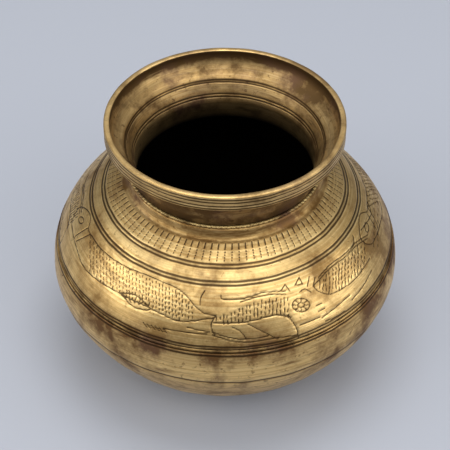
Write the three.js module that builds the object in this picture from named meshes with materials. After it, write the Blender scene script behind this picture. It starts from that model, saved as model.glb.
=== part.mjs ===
// Holy water pot: a round-bellied brass water vessel with a short neck and a thick turned lip.
// Three brass pieces, the bowl, the shoulder and the neck, are lapped into each other,
// and a ring of brazing metal fills each of the two seams.
// Millimetres, +Z up, origin at the middle of the flat standing face.
import * as THREE from 'three';

// Driving dimensions
const facets = 48;
const wall = 1.6;
const seat = 0.3;
const bellyRadius = 75.9;
const bellyHeight = 48;
const baseRadius = 34;
const shoulderRise = 56;
const shoulderFullness = 1.9;
const bellySeamHeight = 60.2;
const brazeHeight = 1.2;
const brazeProud = 0.2;
const lapDepth = 4;
const lapThickness = 1.3;
const throatRadius = 37.6;
const collarWall = 2;
const filletRun = 2.8;
const filletRise = 4.8;
const neckWall = 2.8;
const neckHeight = 22.9;
const neckStraight = 4;
const lipRadius = 50;
const lipWidth = 2.6;
const lipBandHeight = 7.2;
const lipRounding = 0.8;
const lipUndercut = 0.6;
const funnelStepDrop = 10.8;
const funnelStepWidth = 4.5;
const funnelDepth = 21;

// Places that follow from the driving dimensions
const bowlRim = bellySeamHeight - brazeHeight / 2 - seat;
const shoulderFoot = bellySeamHeight + brazeHeight / 2 + seat;
const lapBottom = bowlRim - lapDepth;
const lapOuter = wall + seat;
const lapInner = lapOuter + lapThickness;
const neckLapRadius = throatRadius + lapThickness;
const collarBore = neckLapRadius + seat;
const collarRadius = collarBore + collarWall;
const filletStartRadius = collarRadius + filletRun;
const filletStartHeight = shoulderHeight(filletStartRadius);
const collarTop = filletStartHeight + filletRise;
const neckBrazeBottom = collarTop + seat;
const neckBrazeTop = neckBrazeBottom + brazeHeight;
const neckFoot = neckBrazeTop + seat;
const neckRadius = throatRadius + neckWall;
const lipTop = neckFoot + neckHeight;
const lipBottom = lipTop - lipBandHeight;
const lipInnerRadius = lipRadius - lipWidth;

// The shoulder is part of a full oval: its radius at a height, and its height at a radius
function shoulderRadius(height) {
  const rise = (height - bellyHeight) / shoulderRise;
  return bellyRadius * (1 - rise ** shoulderFullness) ** (1 / shoulderFullness);
}

function shoulderHeight(radius) {
  const share = (radius / bellyRadius) ** shoulderFullness;
  return bellyHeight + shoulderRise * (1 - share) ** (1 / shoulderFullness);
}

function point(radius, height) {
  return new THREE.Vector2(radius, height);
}

// A point at a depth under the outer face of the upper body
function under(height, depth) {
  return point(shoulderRadius(height) - depth, height);
}

function between(low, high, steps) {
  return Array.from({ length: steps + 1 }, (_, i) => low + (high - low) * i / steps);
}

// The same outline, moved into the metal by a distance along its own normals
function inward(outline, distance) {
  return outline.map((here, i) => {
    const before = outline[Math.max(i - 1, 0)];
    const after = outline[Math.min(i + 1, outline.length - 1)];
    const along = after.clone().sub(before).normalize();
    return point(here.x - along.y * distance, here.y + along.x * distance);
  });
}

// The bowl's side sweeps out of the flat base and rises upright to the widest line
function bowlSide() {
  const baseReach = 0.72 * (bellyRadius - baseRadius) / 1.42;
  const curve = new THREE.CubicBezierCurve(
    point(baseRadius, 0),
    point(baseRadius + baseReach, bellyHeight * 0.094),
    point(bellyRadius, bellyHeight * 0.71),
    point(bellyRadius, bellyHeight),
  );
  return curve.getPoints(11);
}

function baseBowl() {
  const side = bowlSide();
  const heights = [...between(bellyHeight, lapBottom, 2).slice(1), bowlRim];
  const outer = heights.map((height) => under(height, 0));
  const inner = heights.map((height) => under(height, wall)).reverse();
  const insideSide = inward(side, wall).reverse();
  return [point(0, 0), ...side, ...outer, ...inner, ...insideSide, point(0, wall)];
}

function fillet() {
  const centreRadius = collarRadius + filletRun;
  return between(0, Math.PI / 2, 4).slice(1).map((turn) => point(
    centreRadius - filletRun * Math.sin(turn),
    collarTop - filletRise * Math.cos(turn),
  ));
}

function shoulderShell() {
  const radii = between(shoulderRadius(shoulderFoot), filletStartRadius, 9);
  const outer = radii.map((radius) => point(radius, shoulderHeight(radius)));
  const inner = inward(outer, wall).slice(1).reverse();
  return [
    ...outer, ...fillet(),
    point(collarBore, collarTop),
    point(collarBore, filletStartHeight),
    ...inner,
    under(shoulderFoot + wall, lapInner),
    under(lapBottom, lapInner),
    under(lapBottom, lapOuter),
    under(bowlRim, lapOuter),
    under(shoulderFoot, lapOuter),
    outer[0].clone(),
  ];
}

// Under the lip the neck flares out in one hollow sweep
function flareUnderside() {
  const curve = new THREE.QuadraticBezierCurve(
    point(neckRadius, neckFoot + neckStraight),
    point(neckRadius + 1.2, lipBottom - 2),
    point(lipRadius - lipRounding, lipBottom),
  );
  return curve.getPoints(5);
}

// The mouth is undercut below its edge, steps in at a turned shelf and narrows to the throat
function funnel() {
  const stepRadius = throatRadius + funnelStepWidth;
  const stepHeight = lipTop - funnelStepDrop;
  const bowlOfLip = new THREE.QuadraticBezierCurve(
    point(lipInnerRadius + lipUndercut, lipTop - 3.5),
    point(lipInnerRadius - 0.4, stepHeight + 1.4),
    point(stepRadius + 0.9, stepHeight + 0.6),
  );
  const throatCone = new THREE.QuadraticBezierCurve(
    point(stepRadius, stepHeight),
    point(throatRadius + 0.8, lipTop - funnelDepth + 4),
    point(throatRadius, lipTop - funnelDepth),
  );
  return [...bowlOfLip.getPoints(4), ...throatCone.getPoints(4)];
}

function neckAndLip() {
  const lapFoot = collarTop - lapDepth;
  return [
    point(neckRadius, neckFoot),
    ...flareUnderside(),
    point(lipRadius, lipBottom + lipRounding),
    point(lipRadius, lipTop - lipRounding),
    point(lipRadius - lipRounding, lipTop),
    point(lipInnerRadius, lipTop),
    ...funnel(),
    point(throatRadius, lapFoot),
    point(neckLapRadius, lapFoot),
    point(neckLapRadius, neckFoot),
    point(neckRadius, neckFoot),
  ];
}

function bellyBraze() {
  const low = bowlRim + seat;
  const high = shoulderFoot - seat;
  return [under(low, -brazeProud), under(high, -brazeProud), under(high, wall),
    under(low, wall), under(low, -brazeProud)];
}

function neckBraze() {
  const outer = collarRadius + brazeProud;
  return [point(outer, neckBrazeBottom), point(outer, neckBrazeTop), point(collarBore, neckBrazeTop),
    point(collarBore, neckBrazeBottom), point(outer, neckBrazeBottom)];
}

const brass = { color: 0xb08d4f, roughness: 0.42, metalness: 1 };
const spelter = { color: 0xc9a55c, roughness: 0.5, metalness: 1 };

// Each piece is turned about the upright axis of the pot
function turned(name, outline, finish) {
  const geometry = new THREE.LatheGeometry(outline, facets);
  geometry.rotateX(Math.PI / 2);
  const mesh = new THREE.Mesh(geometry, new THREE.MeshStandardMaterial(finish));
  mesh.name = name;
  return mesh;
}

const pot = new THREE.Group();
pot.add(
  turned('base_bowl', baseBowl(), brass),
  turned('belly_braze', bellyBraze(), spelter),
  turned('shoulder_shell', shoulderShell(), brass),
  turned('neck_braze', neckBraze(), spelter),
  turned('neck_and_lip', neckAndLip(), brass),
);

export default pot;
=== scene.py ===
# %% [markdown]
# A brass holy water pot, seen from in front and above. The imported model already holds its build: two
# shells, a neck and two rings of brazing metal. This script makes the fine surfaces that the model
# leaves plain: the turned rings, the engraved frieze of fish, the tick band, the seams and the old
# brass.

# %% Load the frame
import math
import bpy
import numpy as np
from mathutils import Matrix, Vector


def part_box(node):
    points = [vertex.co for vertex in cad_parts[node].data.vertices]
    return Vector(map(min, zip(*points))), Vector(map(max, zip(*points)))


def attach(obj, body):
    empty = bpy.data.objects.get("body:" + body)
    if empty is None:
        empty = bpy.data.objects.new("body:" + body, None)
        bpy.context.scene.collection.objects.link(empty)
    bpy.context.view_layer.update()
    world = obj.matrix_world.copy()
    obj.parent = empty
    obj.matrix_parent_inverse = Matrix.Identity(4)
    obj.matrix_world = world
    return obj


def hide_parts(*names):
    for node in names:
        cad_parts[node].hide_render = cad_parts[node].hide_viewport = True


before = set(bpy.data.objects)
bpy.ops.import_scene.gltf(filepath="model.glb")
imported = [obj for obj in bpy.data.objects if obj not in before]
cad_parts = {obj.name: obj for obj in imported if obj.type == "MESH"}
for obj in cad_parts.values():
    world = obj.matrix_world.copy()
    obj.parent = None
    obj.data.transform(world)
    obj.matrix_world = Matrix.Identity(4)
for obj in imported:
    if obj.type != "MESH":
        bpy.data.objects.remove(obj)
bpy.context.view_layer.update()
MM = 0.001


def node_top(node):
    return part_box(node)[1][2] / MM


def node_radius(node):
    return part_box(node)[1][0] / MM


# %% [markdown]
# Every piece of the pot is round about one axis. Each could be shaped by hand from a cylinder, but an
# outline turned about the axis gives the same form with far fewer numbers. The bowl's outline sweeps
# up from the flat base, and the shoulder's is part of an oval. The tops and radii that the model
# knows come from the frame, so the fine pieces stay where the plain ones are.

# %% Sizes of the shells, in millimetres
SEAT_GAP = 0.3
BRAZE_PROUD = 0.2
WALL = 1.6
BELLY_RADIUS = node_radius("base_bowl")
BELLY_HEIGHT = 48
BASE_RADIUS = 34
SHOULDER_RISE = 56
FULLNESS = 1.9
LAP_DEPTH = 4
BOWL_RIM = node_top("base_bowl")
SHOULDER_FOOT = node_top("belly_braze") + SEAT_GAP
COLLAR_TOP = node_top("shoulder_shell")
COLLAR_RADIUS = node_radius("neck_braze") - BRAZE_PROUD
COLLAR_WALL = 2
FILLET_RUN = 2.8
FILLET_RISE = 4.8
FILLET_START = COLLAR_TOP - FILLET_RISE
NECK_FOOT = node_top("neck_braze") + SEAT_GAP
NECK_RADIUS = 40.4
THROAT_RADIUS = 37.6
LIP_TOP = node_top("neck_and_lip")
LIP_RADIUS = node_radius("neck_and_lip")
print("the shoulder runs from", round(SHOULDER_FOOT, 2), "to", round(FILLET_START, 2), "mm")


def shoulder_radius(height):
    rise = (height - BELLY_HEIGHT) / SHOULDER_RISE
    return BELLY_RADIUS * (1 - rise ** FULLNESS) ** (1 / FULLNESS)


# %% [markdown]
# An outline is a list of points, each with a radius and a height. They could be typed in one by one,
# but a curve that bends towards one or two handles needs far fewer. A shell's inner side is the outer
# one moved along its own normals, which keeps the metal equally thick.

# %% Helpers for outlines
TINY = 1e-9


def bezier(points, steps):
    """A quadratic or cubic curve through steps + 1 places."""
    degree = len(points) - 1
    t = np.linspace(0, 1, steps + 1)[:, None]
    return sum(math.comb(degree, k) * (1 - t) ** (degree - k) * t ** k * np.array(p, float)
               for k, p in enumerate(points))


def slope(outline):
    """Unit direction of the outline at each point."""
    along = np.gradient(outline, axis=0)
    return along / np.maximum(np.linalg.norm(along, axis=1), TINY)[:, None]


def inset(outline, depth):
    """The outline moved into the metal along its own normals."""
    along = slope(outline)
    return outline + depth * np.stack([-along[:, 1], along[:, 0]], axis=1)


def path_length(outline):
    return np.concatenate([[0], np.cumsum(np.linalg.norm(np.diff(outline, axis=0), axis=1))])


def rows_of(parts):
    """Where each named part of an outline lies among its rows."""
    ends = np.cumsum([len(part) for part in parts.values()])
    return {name: slice(end - len(part), end) for (name, part), end in zip(parts.items(), ends)}


# %% [markdown]
# The frieze is laid out by where its strokes are seen, so the viewpoint comes before the metal. The
# camera stands 600 mm from the middle of the pot and looks down by about 43 degrees. A place in the
# picture becomes a place on the shoulder by following its line of sight until it meets the metal.

# %% Viewpoint
DISTANCE = 600
ELEVATION = math.radians(42.63)
TARGET_HEIGHT = 62
FRAME_CENTRE = 225
FOCAL_PIXELS = 1362
SENSOR = 36
CAMERA_PLACE = np.array([0, -DISTANCE * math.cos(ELEVATION),
                         TARGET_HEIGHT + DISTANCE * math.sin(ELEVATION)])
BEFORE_TARGET = 110
BEHIND_TARGET = 60
SIGHT_STEP = 0.2


def on_shoulder(seen):
    """Degrees from the front and height of the shoulder points seen at places in the picture."""
    seen = np.array(seen, float)
    across = (seen[:, 0] - FRAME_CENTRE) / FOCAL_PIXELS
    up = (FRAME_CENTRE - seen[:, 1]) / FOCAL_PIXELS
    ray = np.stack([across, math.cos(ELEVATION) + up * math.sin(ELEVATION),
                    -math.sin(ELEVATION) + up * math.cos(ELEVATION)], axis=1)
    reach = np.arange(DISTANCE - BEFORE_TARGET, DISTANCE + BEHIND_TARGET, SIGHT_STEP)[:, None, None]
    place = CAMERA_PLACE + reach * ray
    height = np.clip(place[..., 2], SHOULDER_FOOT, FILLET_START)
    hit = np.hypot(place[..., 0], place[..., 1]) < shoulder_radius(height)
    hit &= place[..., 2] < FILLET_START
    first = np.argmax(hit, axis=0)
    point = place[first, np.arange(len(seen))]
    return np.stack([np.degrees(np.arctan2(point[:, 0], -point[:, 1])), point[:, 2]], axis=1)


# %% [markdown]
# A Screw modifier could turn the outlines. A grid of points made in code is used instead, because
# every cut and dent can then move its own points. Three values go with each point for the finish: its
# distance to the closest cut, which keeps thin lines crisp between the points, how much tarnish and
# painted shade it takes, and whether it lies inside the pot, which is painted black as shade.

# %% Turn an outline into a piece
COLUMNS = 856
AROUND = np.linspace(0, 2 * math.pi, COLUMNS, endpoint=False)
CLEAR = 4
CUT_DEPTH = 0.26


def grid_faces(rows, closed):
    """Faces between the rows, with a fan over each end where the outline is open."""
    last = rows if closed else rows - 1
    i, j = np.meshgrid(np.arange(last), np.arange(COLUMNS), indexing="ij")
    up, side = (i + 1) % rows, (j + 1) % COLUMNS
    corners = [i * COLUMNS + j, i * COLUMNS + side, up * COLUMNS + side, up * COLUMNS + j]
    faces = np.stack(corners, axis=2).reshape(-1, 4).tolist()
    if closed:
        return faces
    under, over, top = rows * COLUMNS, rows * COLUMNS + 1, (rows - 1) * COLUMNS
    for k in range(COLUMNS):
        beside = (k + 1) % COLUMNS
        faces.append((under, beside, k))
        faces.append((over, top + k, top + beside))
    return faces


def grid_points(outline, depth):
    """The outline turned about the axis, with each point pressed into the metal by its depth."""
    along = slope(outline)
    radius = outline[:, :1] - along[:, 1:] * depth
    height = outline[:, 1:] + along[:, :1] * depth
    points = np.stack([radius * np.sin(AROUND), -radius * np.cos(AROUND), height], axis=2)
    return points.reshape(-1, 3) * MM


def add_attribute(mesh, name, values):
    mesh.attributes.new(name, "FLOAT", "POINT").data.foreach_set("value", np.clip(values, 0, 1))


def spin(name, outline, near, relief, tarnish_and_shade, inside, closed=True):
    """near is each point's distance to the closest cut, where 1 is the edge of the cut."""
    lines = np.full((len(outline), COLUMNS), float(CLEAR))
    if near is not None:
        lines[:len(near)] = near
    depth = CUT_DEPTH * np.clip(1 - lines ** 2, 0, 1)
    depth[:len(relief)] += relief
    points = grid_points(outline, depth)
    values = {"from_cut": lines.reshape(-1) / CLEAR, "tarnished_and_shaded": np.repeat(tarnish_and_shade, COLUMNS),
              "inside": np.repeat(inside, COLUMNS)}
    if not closed:
        points = np.vstack([points, [[0, 0, outline[0, 1] * MM], [0, 0, outline[-1, 1] * MM]]])
        ends = {"from_cut": (1, 1), "tarnished_and_shaded": (0, 0), "inside": (0, 1)}
        values = {key: np.append(value, ends[key]) for key, value in values.items()}
    faces = grid_faces(len(outline), closed)
    mesh = bpy.data.meshes.new(name)
    mesh.from_pydata(points.tolist(), [], faces)
    for key, value in values.items():
        add_attribute(mesh, key, value)
    mesh.shade_smooth()
    mesh.update()
    piece = bpy.data.objects.new(name, mesh)
    bpy.context.scene.collection.objects.link(piece)
    print(name, sum(len(face) - 2 for face in faces), "triangles")
    return piece


# %% [markdown]
# The frieze is folk engraving: a row of fish, with columns of chisel dashes for scales, and small
# signs between them. A painted texture could carry it, but real grooves catch the light from every
# side. A stroke is a row of places in the picture. Small random slips keep the dashes from looking
# printed, and the fixed seed makes them the same each time.

# %% Helpers for strokes
random_numbers = np.random.default_rng(7)
BELOW_BACK = 2.2
STAGGER = 1.2
ABOVE_BELLY = 1.6


def scales(back, belly, step=3.3, row=4.9, dash=2.5):
    """Dashes in columns between the back and the belly of a fish."""
    back, belly = np.array(back, float), np.array(belly, float)
    strokes = []
    start, end = max(back[0, 0], belly[0, 0]) + 2, min(back[-1, 0], belly[-1, 0])
    for count, x in enumerate(np.arange(start, end, step)):
        top = np.interp(x, back[:, 0], back[:, 1]) + BELOW_BACK + STAGGER * (count % 2)
        low = np.interp(x, belly[:, 0], belly[:, 1]) - ABOVE_BELLY
        for y in np.arange(top, low, row):
            slip, lean, longer = random_numbers.uniform(-0.5, 0.5, 3)
            strokes.append([(x + slip, y), (x + slip + lean, y + dash * (1 + 0.5 * longer))])
    return strokes


def smooth(places, steps=6):
    """A soft curve through places, as a hand draws it."""
    p = np.array([places[0], *places, places[-1]], float)
    t = np.linspace(0, 1, steps, endpoint=False)[:, None]
    parts = [0.5 * (2 * b + (c - a) * t + (2 * a - 5 * b + 4 * c - d) * t ** 2
                    + (3 * b - a - 3 * c + d) * t ** 3)
             for a, b, c, d in zip(p, p[1:], p[2:], p[3:])]
    return [*np.vstack(parts).tolist(), list(places[-1])]


def ring(centre, width, height, steps=12):
    turns = np.linspace(0, 2 * math.pi, steps + 1)
    return [(centre[0] + width * math.cos(a), centre[1] + height * math.sin(a)) for a in turns]


def hatching(start, reach, count, step):
    """Short strokes side by side, which all reach the same way."""
    starts = [(start[0] + k * step[0], start[1] + k * step[1]) for k in range(count)]
    return [[(x, y), (x + reach[0], y + reach[1])] for x, y in starts]


def lowered(places, drop):
    return [(x, y + drop) for x, y in places]


# %% [markdown]
# The long fish swims at the left, with a leaf-shaped fin under its body and two gill lines behind its
# head. Each outline is named for what it draws and runs through a few places, so it can be bent by
# moving one of them.

# %% Long fish
def long_fish():
    back = [(88, 230), (97, 244), (107, 254), (125, 266), (150, 276), (180, 290), (195, 306)]
    belly = [(74, 240), (83, 266), (100, 282), (125, 296), (150, 308), (175, 320), (195, 321)]
    head = [(74, 240), (72, 222), (80, 207), (90, 214), (88, 230)]
    fin = [(120, 293), (135, 295), (150, 309), (134, 307), (120, 293)]
    upper_tail = [(195, 306), (204, 313), (214, 315)]
    lower_tail = [(195, 321), (204, 319), (214, 318)]
    upper_weed = [(163, 328), (185, 332), (207, 334)]
    lower_weed = [(187, 327), (199, 330), (210, 332)]
    mark_above_tail = [(205, 290), (201, 297), (200, 305)]
    gills = [[(75, 236), (87, 228)], [(76, 241), (90, 234)]]
    eye = ring((81, 220), 2.6, 3.4)
    fin_rays = hatching((125, 297.5), (2, 3.5), 6, (4, 1.2))
    ground = hatching((143, 322.4), (4, 5), 6, (4, 1.2))
    curves = (back, belly, head, fin, upper_tail, lower_tail, upper_weed, lower_weed, mark_above_tail)
    return [*map(smooth, curves), eye, *gills, *fin_rays, *ground, *scales(back, belly)]


# %% [markdown]
# The second fish lies in front, close behind the long one's tail. The lines above and below it are
# doubled: each second line is a shorter copy of the first, moved by 3 pixels of the picture.

# %% Round fish
def round_fish():
    top = [(221, 295), (223, 299), (240, 299), (265, 292), (286, 291)]
    back = [(214, 315), (230, 311), (243, 304), (262, 298), (291, 294)]
    belly = [(214, 323), (245, 322), (275, 315), (291, 317)]
    snout = [(275, 315), (288, 317), (297, 329), (298, 338)]
    keel = [(212, 335), (232, 341), (250, 342), (268, 339), (297, 335)]
    tail = [(216, 315), (211, 325), (215, 336)]
    front_rib = [(248, 324), (262, 331), (278, 339)]
    rear_rib = [(232, 327), (240, 331), (246, 338)]
    second_top = lowered(top[2:], 3)
    second_keel = lowered(keel[:4], -3)
    curves = (top, second_top, belly, snout, keel, second_keel, tail, front_rib, rear_rib)
    return [*map(smooth, curves), *scales(back, belly, step=3.8, row=5.4, dash=3.4)]


# %% [markdown]
# At the right come two triangles, a rosette and a leaf-shaped fish with weed lines round it. The
# rosette is a ring in a ring with eight spokes between them, so a loop draws it.

# %% Small signs and leaf fish
ROSETTE = (301, 305)
SPOKES = 8


def rosette(centre):
    turns = np.linspace(0, 2 * math.pi, SPOKES + 1)[:-1]
    spokes = [[(centre[0] + 5 * math.cos(a), centre[1] + 4 * math.sin(a)),
               (centre[0] + 8 * math.cos(a), centre[1] + 6 * math.sin(a))] for a in turns]
    return [ring(centre, 9, 7), ring(centre, 3.4, 2.6, 8), *spokes]


def small_signs():
    open_triangle = [(281, 290), (285, 284), (290, 291)]
    triangle = [(295, 285), (299, 277), (303, 284), (295, 285)]
    bars = [[(307, 286), (309, 276)], [(313, 286), (315, 277)]]
    brow = smooth([(299, 292), (305, 289), (311, 292)])
    ticks = [[(316, 306), (322, 303)], [(318, 312), (325, 308)], [(300, 325), (320, 317)]]
    return [open_triangle, triangle, *bars, brow, *ticks, *rosette(ROSETTE)]


def leaf_fish():
    back = [(318, 281), (330, 268), (345, 257), (356, 246), (368, 238)]
    belly = [(318, 291), (330, 294), (345, 287), (358, 276), (370, 258)]
    nose = [(318, 281), (314, 286), (318, 291)]
    horn = [(352, 247), (354, 241), (353, 235)]
    long_weed = [(322, 318), (335, 308), (350, 295)]
    short_weed = [(325, 321), (336, 317), (345, 311)]
    outer_weed = [(352, 300), (362, 288), (372, 270)]
    hook = [(368, 202), (371, 215), (361, 230)]
    second_back = lowered(back, -3.5)
    far_dashes = [dash for x in (374, 378) for dash in hatching((x, 202), (0.2, 3), 8, (0, 6))]
    curves = (back, second_back, belly, nose, horn, long_weed, short_weed, outer_weed, hook)
    return [*map(smooth, curves), *far_dashes, *scales(back, belly, step=3.2, row=4.6, dash=2.8)]


# %% [markdown]
# The picture doesn't show the back, so the two large fish go round again there, twice. The tick band
# above the frieze repeats all the way round: a long dash at the collar, with four dots below it.

# %% Frieze and tick band on the metal
BACK_TURNS = (150, 256)
TICK_COUNT = 104
TICKS_FOOT = 88.6
TICK_RISE = FILLET_START - TICKS_FOOT
DASH_SHARES = (0.68, 0.98)
DASH_LEAN = 0.3
DOTS = 4
FIRST_DOT = 0.5
DOT_STEP = 0.16
DOT_LENGTH = 0.04
DOT_LEAN = 0.1


def frieze_strokes():
    pair = [on_shoulder(stroke) for stroke in (*long_fish(), *round_fish())]
    rest = [on_shoulder(stroke) for stroke in (*small_signs(), *leaf_fish())]
    copies = [stroke + [turn, 0] for turn in BACK_TURNS for stroke in pair]
    return [*pair, *rest, *copies]


def tick_strokes():
    strokes = []
    for k in range(TICK_COUNT):
        x = k * 360 / TICK_COUNT
        low, high = (TICKS_FOOT + share * TICK_RISE for share in DASH_SHARES)
        strokes.append(np.array([(x, low), (x + DASH_LEAN, high)]))
        for dot in range(DOTS):
            y = TICKS_FOOT + (FIRST_DOT - DOT_STEP * dot) * TICK_RISE
            left = x - DOT_LEAN * dot
            strokes.append(np.array([(left, y), (left, y + DOT_LENGTH * TICK_RISE)]))
    return strokes


# %% [markdown]
# A stroke presses a rounded groove into the grid. It isn't cut straight away: each point first keeps
# its distance to the closest stroke or turned line, in widths of that line, and the depth and the
# dark colour are both worked out from it. All distances are real millimetres on the metal.

# %% Distances to strokes and turned lines
STROKE_REACH = 1.2
LINE_SEED = 1.7


def cut_strokes(near, heights, outline, strokes, width):
    """Bring down the distances in near to those of the strokes."""
    length = path_length(outline)
    degrees = np.arange(COLUMNS) * 360 / COLUMNS
    for stroke in strokes:
        places = [(x, np.interp(y, heights, length)) for x, y in stroke]
        for (xa, ya), (xb, yb) in zip(places, places[1:]):
            low, high = min(ya, yb) - STROKE_REACH, max(ya, yb) + STROKE_REACH
            rows = np.where((length > low) & (length < high))[0]
            turn = (degrees - (xa + xb) / 2 + 180) % 360 - 180
            columns = np.where(np.abs(turn) < abs(xb - xa) / 2 + STROKE_REACH)[0]
            scale = math.radians(1) * outline[rows, 0][:, None]
            px = turn[columns][None, :] * scale
            py = length[rows][:, None] - (ya + yb) / 2
            dx, dy = (xb - xa) * scale, yb - ya
            t = np.clip((px * dx + py * dy) / np.maximum(dx * dx + dy * dy, TINY), -0.5, 0.5)
            away = np.hypot(px - t * dx, py - t * dy)
            block = np.ix_(rows, columns)
            near[block] = np.minimum(near[block], away / width)


def wander(size, seed):
    """A slow uneven line round the pot, as a hand or an old lathe leaves."""
    waves = ((5, 1.0), (11, 0.6), (23, 0.5), (47, 0.3))
    return size * sum(share * np.sin(n * AROUND + seed * (n + 1)) for n, share in waves)


def near_rings(along, places, width, uneven):
    """Distance of each point to the closest turned line, whose places are given along the outline."""
    line = wander(uneven, LINE_SEED)[None, :]
    return np.minimum.reduce([np.abs(along[:, None] - place - line) / width for place in places])


# %% [markdown]
# Beaten metal is never quite even, and that shows in how the light bends on it. A few waves of
# different counts wind round the pot and add up to soft dents without any pattern to see. They only
# go inwards, so the pot keeps its size.

# %% Soft dents
DENT_WAVES = ((7, 0.11, 0), (-12, 0.19, 2), (19, 0.07, 4), (-29, 0.31, 1))


def winding(along, waves):
    """Sum of waves round the pot, each with its count, its climb along the outline and its start."""
    return sum(np.sin(count * AROUND[None, :] + along[:, None] * climb + start)
               for count, climb, start in waves)


def handmade(outline, size):
    return size * (1 + 0.25 * winding(path_length(outline), DENT_WAVES))


# %% [markdown]
# The shoulder shell carries most of the engraving, so its rows lie closest together where the finest
# cuts are. It ends below in a lap that slips inside the bowl, and above in a round fillet and a
# collar for the neck. Two pairs of turned lines part the frieze from the tick band, and a pair runs
# above the belly seam.

# %% Shoulder
FRIEZE_TOP = 82.0
FRIEZE_STEP = 0.5
PLAIN_STEP = 0.46
TICKS_STEP = 0.32
INNER_SKIP = 24
LAP_INNER = 3.2
LAP_OUTER = 1.9
STROKE_WIDTH = 0.26
TICK_WIDTH = 0.27
BAND_LINES = (82.5, 83.5, 86.9, 87.8)
BAND_LINE_WIDTH = 0.42
SEAM_LINES = (61.0, 62.3)
SEAM_LINE_WIDTH = 0.38
SHOULDER_DENTS = 0.1
CURVE_SAMPLES = 400


def even_heights(low, high, step):
    """Heights whose points lie a step apart along the shoulder's curve."""
    fine = np.linspace(low, high, CURVE_SAMPLES)
    length = path_length(np.stack([shoulder_radius(fine), fine], axis=1))
    return np.interp(np.arange(0, length[-1] - step / 2, step), length, fine)


def shoulder_parts():
    """Parts of the outline, from the foot up to the collar and down the inner side to the lap."""
    heights = np.concatenate([even_heights(SHOULDER_FOOT, FRIEZE_TOP, FRIEZE_STEP),
                              even_heights(FRIEZE_TOP, TICKS_FOOT, PLAIN_STEP),
                              even_heights(TICKS_FOOT, FILLET_START, TICKS_STEP), [FILLET_START]])
    outer = np.stack([shoulder_radius(heights), heights], axis=1)
    turn = np.linspace(0, math.pi / 2, 7)[1:]
    fillet = np.stack([COLLAR_RADIUS + FILLET_RUN * (1 - np.sin(turn)),
                       COLLAR_TOP - FILLET_RISE * np.cos(turn)], axis=1)
    bore = COLLAR_RADIUS - COLLAR_WALL
    lap_top, lap_foot = SHOULDER_FOOT + WALL, BOWL_RIM - LAP_DEPTH
    lap = [[shoulder_radius(lap_top) - LAP_INNER, lap_top],
           [shoulder_radius(lap_foot) - LAP_INNER, lap_foot],
           [shoulder_radius(lap_foot) - LAP_OUTER, lap_foot],
           [shoulder_radius(SHOULDER_FOOT) - LAP_OUTER, SHOULDER_FOOT]]
    return {"outer": outer, "fillet": fillet, "collar": [[bore, COLLAR_TOP], [bore, FILLET_START]],
            "inner": inset(outer, WALL)[-2::-INNER_SKIP], "lap": lap}


def shoulder_cuts(outer):
    """Distance of each point of the outer side to the closest cut."""
    heights, length = outer[:, 1], path_length(outer)
    near = np.full((len(outer), COLUMNS), float(CLEAR))
    cut_strokes(near, heights, outer, frieze_strokes(), STROKE_WIDTH)
    cut_strokes(near, heights, outer, tick_strokes(), TICK_WIDTH)
    band = near_rings(length, np.interp(BAND_LINES, heights, length), BAND_LINE_WIDTH, 0.08)
    seam = near_rings(length, np.interp(SEAM_LINES, heights, length), SEAM_LINE_WIDTH, 0.15)
    return np.minimum(np.minimum(near, band), seam)


def shoulder_piece():
    parts = shoulder_parts()
    rows, outer = rows_of(parts), parts["outer"]
    outline, heights = np.vstack(list(parts.values())), outer[:, 1]
    inside = np.zeros(len(outline))
    # The bore and the inner side are painted black as shade.
    inside[rows["collar"].start + 1:] = 1
    tarnish_and_shade = np.zeros(len(outline))
    tarnish_and_shade[rows["outer"]] = np.interp(heights, (60, 61, 63.5, 90, 93.5), (0.5, 0.4, 0, 0, 0.25))
    tarnish_and_shade[rows["fillet"]] = 0.5
    fade = np.interp(heights, (SHOULDER_FOOT, SHOULDER_FOOT + 5, FILLET_START - 3, FILLET_START),
                     (0, 1, 1, 0))
    relief = handmade(outer, SHOULDER_DENTS) * fade[:, None]
    return spin("shoulder_shell_fine", outline, shoulder_cuts(outer), relief, tarnish_and_shade, inside)


shoulder = shoulder_piece()

# %% [markdown]
# The lower bowl was raised by hammer, so its skin has soft shallow facets. They could be sculpted, but
# low waves in the surface can be changed by one number. They fade out towards the base and the seam.
# One turned line runs below the widest place and one close under the seam.

# %% Bowl
BASE_HANDLE = 0.72 / 1.42
BASE_LIFT = 0.094
BELLY_HANDLE = 0.71
SIDE_STEPS = 70
RIM_STEP = 0.45
BOWL_INNER_SKIP = 7
HAMMER_WAVES = ((31, 0.31, 0), (-23, 0.42, 2), (9, 0.15, 4), (-14, 0.22, 1))
HAMMER_SIZE = 0.04
HAMMER_LEVEL = 0.16
BOWL_LINES = (43.3, 58.4)
BOWL_LINE_WIDTH = 0.42


def bowl_outer():
    reach = BASE_HANDLE * (BELLY_RADIUS - BASE_RADIUS)
    side = bezier([(BASE_RADIUS, 0), (BASE_RADIUS + reach, BELLY_HEIGHT * BASE_LIFT),
                   (BELLY_RADIUS, BELLY_HEIGHT * BELLY_HANDLE), (BELLY_RADIUS, BELLY_HEIGHT)], SIDE_STEPS)
    heights = np.append(np.arange(BELLY_HEIGHT + 0.5, BOWL_RIM, RIM_STEP), BOWL_RIM)
    return np.vstack([side, np.stack([shoulder_radius(heights), heights], axis=1)])


def hammer_relief(outer):
    z = outer[:, 1]
    fade = np.clip((z - 6) / 10, 0, 1) * np.clip((56 - z) / 8, 0, 1)
    return np.clip(HAMMER_LEVEL + HAMMER_SIZE * winding(z, HAMMER_WAVES), 0, 1) * fade[:, None]


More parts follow.
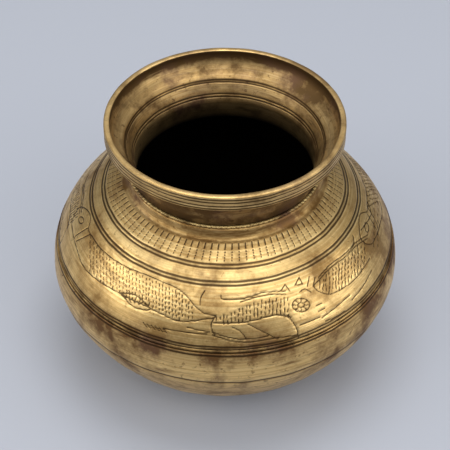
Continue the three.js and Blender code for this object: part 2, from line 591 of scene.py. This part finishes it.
def bowl_piece():
    outer = bowl_outer()
    rim = [[outer[-1, 0] - WALL, BOWL_RIM]]
    inner = inset(outer, WALL)[::-BOWL_INNER_SKIP][1:]
    outline = np.vstack([outer, rim, inner, [[BASE_RADIUS - 1, WALL]]])
    near = near_rings(outer[:, 1], BOWL_LINES, BOWL_LINE_WIDTH, 0.12)
    # The inner side is painted black as shade.
    inside = (np.arange(len(outline)) > len(outer)).astype(float)
    tarnish_and_shade = np.zeros(len(outline))
    tarnish_and_shade[:len(outer)] = np.interp(outer[:, 1], (0, 12, 50, 56, 60), (0.4, 0.1, 0.05, 0.3, 0.5))
    return spin("base_bowl_fine", outline, near, hammer_relief(outer), tarnish_and_shade, inside, closed=False)


bowl = bowl_piece()

# %% [markdown]
# The neck flares out under a thick lip band, and inside it a funnel leads down to the throat. Four
# lines were turned on the band and two pairs in the funnel. Painted shade darkens the hollow under the
# lip's inner edge, the flare is darker towards its foot, and painted shade blackens the funnel towards
# the throat.

# %% Neck and lip
NECK_STRAIGHT = 4
LIP_BAND = 7.2
LIP_BOTTOM = LIP_TOP - LIP_BAND
LIP_WIDTH = 2.6
BAND_STEP = 0.18
FUNNEL_DEPTH = 21
LAP_WALL = 1.3
LIP_LINES = LIP_TOP - np.array([1.4, 2.8, 4.6, 6.0])
LIP_LINE_WIDTH = 0.3
FUNNEL_LINES = LIP_TOP - np.array([11.5, 12.4, 17.2, 18.4])
FUNNEL_LINE_WIDTH = 0.26
BLACK_FROM = 18.6
BLACK_FADE = 4.4
NECK_DENTS = 0.07


def lip_parts():
    """The lip's outer band, its rounded crown and its inner edge."""
    band_heights = np.arange(LIP_BOTTOM + 0.6, LIP_TOP - 0.7, BAND_STEP)
    inner = LIP_RADIUS - LIP_WIDTH
    return {"band": np.stack([np.full(len(band_heights), LIP_RADIUS), band_heights], axis=1),
            "crown": bezier([(LIP_RADIUS, LIP_TOP - 0.6), (LIP_RADIUS, LIP_TOP),
                             (LIP_RADIUS - 1.2, LIP_TOP)], 5),
            "edge": bezier([(LIP_RADIUS - 1.6, LIP_TOP), (inner, LIP_TOP), (inner, LIP_TOP - 0.5)], 4)}


def neck_parts():
    """Parts of the outline, from the neck's foot over the lip and down the funnel to the lap."""
    flare = bezier([(NECK_RADIUS, NECK_FOOT + NECK_STRAIGHT), (NECK_RADIUS + 1.2, LIP_BOTTOM - 2),
                    (LIP_RADIUS - 0.8, LIP_BOTTOM)], 14)
    hollow = bezier([(LIP_RADIUS - 2.0, LIP_TOP - 2.2), (LIP_RADIUS - 1.9, LIP_TOP - 7.5),
                     (THROAT_RADIUS + 5.4, LIP_TOP - 10.2)], 16)
    cone = bezier([(THROAT_RADIUS + 4.5, LIP_TOP - 10.8), (THROAT_RADIUS + 0.8, LIP_TOP - 17),
                   (THROAT_RADIUS, LIP_TOP - FUNNEL_DEPTH)], 30)
    lap_foot = COLLAR_TOP - LAP_DEPTH
    lap = [(THROAT_RADIUS, lap_foot), (THROAT_RADIUS + LAP_WALL, lap_foot),
           (THROAT_RADIUS + LAP_WALL, NECK_FOOT)]
    return {"seat": [[NECK_RADIUS, NECK_FOOT]], "flare": flare, **lip_parts(),
            "hollow": hollow, "cone": cone, "lap": lap}


def neck_tarnish_and_shade(rows, count):
    tarnish_and_shade = np.full(count, 0.1)
    start = rows["hollow"].start
    tarnish_and_shade[start:rows["cone"].stop] = 0.45
    # Painted shade: the hollow under the lip's inner edge is darkened most at its top.
    tarnish_and_shade[start - 1:start + 6] = (0.9, 1, 1, 0.95, 0.85, 0.7, 0.55)
    flare_rows = rows["flare"].stop - 1
    tarnish_and_shade[:flare_rows] = np.linspace(0.75, 0.4, flare_rows)
    return tarnish_and_shade


def neck_piece():
    parts = neck_parts()
    rows, outline = rows_of(parts), np.vstack(list(parts.values()))
    height = outline[:, 1]
    near = np.full((len(outline), COLUMNS), float(CLEAR))
    near[rows["band"]] = near_rings(height[rows["band"]], LIP_LINES, LIP_LINE_WIDTH, 0.06)
    near[rows["cone"]] = near_rings(height[rows["cone"]], FUNNEL_LINES, FUNNEL_LINE_WIDTH, 0.05)
    inside = np.zeros(len(outline))
    inner = slice(rows["hollow"].start, None)
    # Painted shade: the funnel fades to black from BLACK_FROM under the lip's top.
    inside[inner] = np.clip((LIP_TOP - BLACK_FROM - height[inner]) / BLACK_FADE, 0, 1)
    relief = handmade(outline, NECK_DENTS)
    return spin("neck_and_lip_fine", outline, near, relief, neck_tarnish_and_shade(rows, len(outline)), inside)


neck = neck_piece()

# %% [markdown]
# Brazing metal flows unevenly, so the ring at the belly swells and thins. Under the neck the joint was
# cut into small teeth before brazing, and they still show in the ring. Both rings fit between their
# two neighbours, so their heights come from the frame.

# %% Braze rings
BELLY_PROUD = 0.15
NECK_PROUD = 0.1
SWELL = 0.1
RING_TARNISH = 0.35
BELLY_LEVEL = 0.12
BELLY_WANDER = 0.04
BELLY_SEED = 2.3
NECK_TEETH = 118
TOOTH_DEPTH = 0.3
TOOTH_SHARE = 0.35
seam_low, seam_high = (corner[2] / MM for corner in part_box("belly_braze"))
collar_low, collar_high = (corner[2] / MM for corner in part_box("neck_braze"))


def braze_piece(name, low, high, inner, outer, relief):
    outline = np.array([(outer, low), (outer + SWELL, (low + high) / 2), (outer, high),
                        (inner, high), (inner, low)])
    # The ring's inner faces are painted black as shade.
    inside = np.array([0, 0, 0, 1, 1])
    tarnish_and_shade = np.full(len(outline), RING_TARNISH)
    return spin(name, outline, None, np.tile(relief, (3, 1)), tarnish_and_shade, inside)


def teeth():
    return TOOTH_DEPTH * (np.sin(NECK_TEETH * AROUND + 2 * np.sin(7 * AROUND)) > TOOTH_SHARE)


seam_radius = shoulder_radius(seam_high)
belly_seam = braze_piece("belly_braze_fine", seam_low, seam_high, seam_radius - WALL + SEAT_GAP,
                         seam_radius + BELLY_PROUD, BELLY_LEVEL + wander(BELLY_WANDER, BELLY_SEED))
neck_seam = braze_piece("neck_braze_fine", collar_low, collar_high, COLLAR_RADIUS - COLLAR_WALL,
                        COLLAR_RADIUS + NECK_PROUD, teeth())

# %% [markdown]
# A finish is a net of nodes. The same few kinds of node come again and again, so each gets a helper
# that adds one, sets its numbers and joins it up.

# %% Helpers for nodes
NOISE_ROUGHNESS = 0.65


def noise(tree, vector, scale, detail):
    texture = tree.nodes.new("ShaderNodeTexNoise")
    texture.inputs["Scale"].default_value = scale
    texture.inputs["Detail"].default_value = detail
    texture.inputs["Roughness"].default_value = NOISE_ROUGHNESS
    tree.links.new(vector, texture.inputs["Vector"])
    return texture.outputs["Fac"]


def stretched(tree, vector, scale):
    mapping = tree.nodes.new("ShaderNodeMapping")
    mapping.inputs["Scale"].default_value = scale
    tree.links.new(vector, mapping.inputs["Vector"])
    return mapping.outputs["Vector"]


def spread(tree, value, low, high, to_low=0.0, to_high=1.0):
    ranged = tree.nodes.new("ShaderNodeMapRange")
    for socket, number in (("From Min", low), ("From Max", high), ("To Min", to_low), ("To Max", to_high)):
        ranged.inputs[socket].default_value = number
    tree.links.new(value, ranged.inputs["Value"])
    return ranged.outputs["Result"]


def combine(tree, operation, first, second, clamp=False):
    math_node = tree.nodes.new("ShaderNodeMath")
    math_node.operation = operation
    math_node.use_clamp = clamp
    for socket, value in zip(math_node.inputs, (first, second)):
        if isinstance(value, (int, float)):
            socket.default_value = value
        else:
            tree.links.new(value, socket)
    return math_node.outputs["Value"]


def blend_colors(tree, factor, first, second):
    mix = tree.nodes.new("ShaderNodeMix")
    mix.data_type = "RGBA"
    tree.links.new(factor, mix.inputs["Factor"])
    for socket, value in ((mix.inputs[6], first), (mix.inputs[7], second)):
        if isinstance(value, tuple):
            socket.default_value = value
        else:
            tree.links.new(value, socket)
    return mix.outputs[2]


def attribute(tree, name):
    reader = tree.nodes.new("ShaderNodeAttribute")
    reader.attribute_name = name
    return reader.outputs["Fac"]


# %% [markdown]
# Old brass is bright where hands polish it and brown where they can't reach. All the finishes share
# one node group for that: cloudy stains, streaks round the pot, dark specks and fine lathe lines. It
# reads the place on the object, so the stains stay where they are when the pot is turned. Each point's
# own mask adds tarnish and painted shade to the stains. The distance to a cut darkens the engraving,
# and the inside value paints the hollow black as shade.

# %% Patina group
CLOUD_SCALE = 52
STREAK_SCALE = (60, 60, 380)
LATHE_SCALE = (8, 8, 1900)
SPECK_SCALE = 380
GRAIN_SCALE = 1100
PURPLE_SCALE = 41
STREAK_SHARE = 0.8
SPECK_SHARE = 0.7
PURPLE_SHARE = 0.45
CUT_SHARE = 0.9
CUT_EDGE = (0.19, 0.36)
PURPLE_OXIDE = (0.17, 0.09, 0.065, 1)
CUT_DIRT = (0.045, 0.022, 0.008, 1)
# Near black, painted as shade inside the pot and down the throat.
PAINTED_INSIDE_SHADE = (0.003, 0.002, 0.001, 1)
POLISHED_ROUGHNESS = 0.36
STAINED_ROUGHNESS = 0.55


def patina_sockets(face):
    for name in ("Clean", "Worn", "Tarnish and shade"):
        face.new_socket(name, in_out="INPUT", socket_type="NodeSocketColor")
    face.new_socket("Amount", in_out="INPUT", socket_type="NodeSocketFloat")
    face.new_socket("Color", in_out="OUTPUT", socket_type="NodeSocketColor")
    face.new_socket("Roughness", in_out="OUTPUT", socket_type="NodeSocketFloat")
    face.new_socket("Height", in_out="OUTPUT", socket_type="NodeSocketFloat")


def stain_and_shade_mask(group, place, amount):
    """How much stain and painted shade each place takes, from clouds, streaks, specks and the piece's own
    mask of patina and painted shade.
    """
    clouds = spread(group, noise(group, place, CLOUD_SCALE, 11), 0.45, 0.63)
    streaks = spread(group, noise(group, stretched(group, place, STREAK_SCALE), 1, 8), 0.5, 0.68)
    specks = spread(group, noise(group, place, SPECK_SCALE, 5), 0.58, 0.68)
    stain_and_shade = combine(group, "MAXIMUM", clouds, combine(group, "MULTIPLY", streaks, STREAK_SHARE))
    stain_and_shade = combine(group, "MAXIMUM", stain_and_shade, combine(group, "MULTIPLY", specks, SPECK_SHARE))
    stain_and_shade = combine(group, "MULTIPLY", stain_and_shade, amount)
    return combine(group, "ADD", stain_and_shade, attribute(group, "tarnished_and_shaded"), clamp=True)


def stain_and_shade_color(group, place, tarnish_and_shade):
    """The colour for stains and painted shade: the patina's brown, turned towards purple in some places.
    """
    purple = spread(group, noise(group, place, PURPLE_SCALE, 6), 0.5, 0.62)
    return blend_colors(group, combine(group, "MULTIPLY", purple, PURPLE_SHARE), tarnish_and_shade, PURPLE_OXIDE)


def patina_group():
    group = bpy.data.node_groups.new("patina", "ShaderNodeTree")
    patina_sockets(group.interface)
    given, result = group.nodes.new("NodeGroupInput"), group.nodes.new("NodeGroupOutput")
    place = group.nodes.new("ShaderNodeTexCoord").outputs["Object"]
    stain_and_shade = stain_and_shade_mask(group, place, given.outputs["Amount"])
    lines = noise(group, stretched(group, place, LATHE_SCALE), 1, 4)
    grain = noise(group, place, GRAIN_SCALE, 3)
    polish = spread(group, lines, 0.38, 0.6)
    metal = blend_colors(group, polish, given.outputs["Clean"], given.outputs["Worn"])
    color = blend_colors(group, stain_and_shade, metal, stain_and_shade_color(group, place, given.outputs["Tarnish and shade"]))
    cuts = spread(group, attribute(group, "from_cut"), *CUT_EDGE, 1, 0)
    color = blend_colors(group, combine(group, "MULTIPLY", cuts, CUT_SHARE), color, CUT_DIRT)
    # Painted shade: every inside point is blended towards near black.
    color = blend_colors(group, attribute(group, "inside"), color, PAINTED_INSIDE_SHADE)
    rough = spread(group, stain_and_shade, 0, 1, POLISHED_ROUGHNESS, STAINED_ROUGHNESS)
    rough = combine(group, "MAXIMUM", rough, attribute(group, "inside"))
    height = combine(group, "ADD", combine(group, "MULTIPLY", lines, 0.6),
                     combine(group, "MULTIPLY", grain, 0.4))
    for name, output in (("Color", color), ("Roughness", rough), ("Height", height)):
        group.links.new(output, result.inputs[name])
    return group


PATINA = patina_group()
print("patina group with", len(PATINA.nodes), "nodes")

# %% [markdown]
# The pot has four kinds of brass: the bowl's takes the most stains and the lip's the fewest, and the
# brazing metal is the yellowest. They differ only in the colours and the amount that they give to the
# group. A weak bump adds the lathe lines and the grain, which are too fine for the mesh.

# %% Brass finishes
METALLIC = 0.95
BUMP_STRENGTH = 0.25
BUMP_DISTANCE = 0.0002
CLEAN = (0.86, 0.61, 0.26)
WORN = (0.64, 0.41, 0.15)


def brass(name, clean, worn, tarnish_and_shade, amount):
    material = bpy.data.materials.new(name)
    material.use_nodes = True
    nodes, links = material.node_tree.nodes, material.node_tree.links
    shader = nodes["Principled BSDF"]
    shader.inputs["Metallic"].default_value = METALLIC
    patina = nodes.new("ShaderNodeGroup")
    patina.node_tree = PATINA
    for socket, color in (("Clean", clean), ("Worn", worn), ("Tarnish and shade", tarnish_and_shade)):
        patina.inputs[socket].default_value = (*color, 1)
    patina.inputs["Amount"].default_value = amount
    bump = nodes.new("ShaderNodeBump")
    bump.inputs["Strength"].default_value = BUMP_STRENGTH
    bump.inputs["Distance"].default_value = BUMP_DISTANCE
    links.new(patina.outputs["Color"], shader.inputs["Base Color"])
    links.new(patina.outputs["Roughness"], shader.inputs["Roughness"])
    links.new(patina.outputs["Height"], bump.inputs["Height"])
    links.new(bump.outputs["Normal"], shader.inputs["Normal"])
    return material


BODY_BRASS = brass("body brass", CLEAN, WORN, (0.20, 0.105, 0.03), 0.85)
BOWL_BRASS = brass("bowl brass", CLEAN, WORN, (0.17, 0.085, 0.03), 0.9)
# The lip's tarnish colour also paints the shade in the hollow under its inner edge.
LIP_BRASS = brass("lip brass", (0.82, 0.58, 0.26), WORN, (0.14, 0.08, 0.03), 0.7)
SPELTER = brass("brazing metal", (0.84, 0.62, 0.26), WORN, (0.10, 0.055, 0.02), 0.8)

# %% [markdown]
# Each fine piece stands for one plain piece of the model and rides on the pot's only body. A table
# says which, so that no piece can be forgotten.

# %% Give each piece its body, node and finish
PIECES = (
    (bowl, "base_bowl", "brass", BOWL_BRASS),
    (belly_seam, "belly_braze", "braze", SPELTER),
    (shoulder, "shoulder_shell", "brass", BODY_BRASS),
    (neck_seam, "neck_braze", "braze", SPELTER),
    (neck, "neck_and_lip", "brass", LIP_BRASS),
)
for piece, node, slot, finish in PIECES:
    piece.data.materials.append(finish)
    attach(piece, "root")
    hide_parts(node)
    print(piece.name, "stands for", node)

# %% [markdown]
# A pale floor, one wide lamp in front and above, a soft one overhead and one low on each side. The
# side lamps are what the left and right of a round shoulder mirror, so without them it looks dull
# there. The room is dark at the horizon and pale above.

# %% Floor and light
FLOOR = 4
PAPER = (0.37, 0.385, 0.425, 1)
SKY = (0.84, 0.88, 0.95, 1)
HORIZON_STRENGTH = 0.06
ZENITH_STRENGTH = 0.8
LAMPS = (
    ("front", (-0.05, -0.85, 1.15), 2.4, 0.8, 11),
    ("overhead", (0.05, 0.15, 1.2), 0.8, 0.7, 7),
    ("left", (-1.1, -0.3, 0.45), 0.9, 0.6, 4.5),
    ("right", (1.05, -0.42, 0.38), 0.9, 0.6, 4.5),
)


def pale_floor():
    corners = [(-FLOOR, -FLOOR, 0), (FLOOR, -FLOOR, 0), (FLOOR, FLOOR, 0), (-FLOOR, FLOOR, 0)]
    mesh = bpy.data.meshes.new("floor")
    mesh.from_pydata(corners, [], [(0, 1, 2, 3)])
    floor = bpy.data.objects.new("floor", mesh)
    bpy.context.scene.collection.objects.link(floor)
    paper = bpy.data.materials.new("pale paper")
    paper.use_nodes = True
    paper.node_tree.nodes["Principled BSDF"].inputs["Base Color"].default_value = PAPER
    paper.node_tree.nodes["Principled BSDF"].inputs["Roughness"].default_value = 0.9
    mesh.materials.append(paper)


def lamp(name, place, width, depth, watts):
    """An oblong lamp that faces the foot of the pot."""
    light = bpy.data.lights.new(name, "AREA")
    light.shape = "RECTANGLE"
    light.size = width
    light.size_y = depth
    light.energy = watts
    source = bpy.data.objects.new(name, light)
    source.location = place
    toward = -np.array(place, float)
    source.rotation_euler = (math.acos(-toward[2] / np.linalg.norm(toward)), 0,
                             math.atan2(toward[1], toward[0]) - math.pi / 2)
    bpy.context.scene.collection.objects.link(source)


def room():
    world = bpy.data.worlds.new("studio")
    world.use_nodes = True
    sky = world.node_tree
    direction = sky.nodes.new("ShaderNodeSeparateXYZ")
    sky.links.new(sky.nodes.new("ShaderNodeTexCoord").outputs["Generated"], direction.inputs["Vector"])
    background = sky.nodes["Background"]
    background.inputs["Color"].default_value = SKY
    strength = spread(sky, direction.outputs["Z"], 0, 0.9, HORIZON_STRENGTH, ZENITH_STRENGTH)
    sky.links.new(strength, background.inputs["Strength"])
    bpy.context.scene.world = world


pale_floor()
for one_lamp in LAMPS:
    lamp(*one_lamp)
room()
bpy.context.scene.view_settings.view_transform = "Standard"

# %% [markdown]
# The camera uses the numbers that placed the frieze. A lens is given in millimetres, so the focal
# length in pixels is scaled by the sensor's width over the picture's.

# %% Camera
camera_data = bpy.data.cameras.new("camera")
camera_data.sensor_width = SENSOR
camera_data.lens = FOCAL_PIXELS / (2 * FRAME_CENTRE) * SENSOR
camera = bpy.data.objects.new("camera", camera_data)
camera.location = CAMERA_PLACE * MM
camera.rotation_euler = (math.pi / 2 - ELEVATION, 0, 0)
bpy.context.scene.collection.objects.link(camera)
bpy.context.scene.camera = camera
print("lens", round(camera_data.lens, 2), "mm")
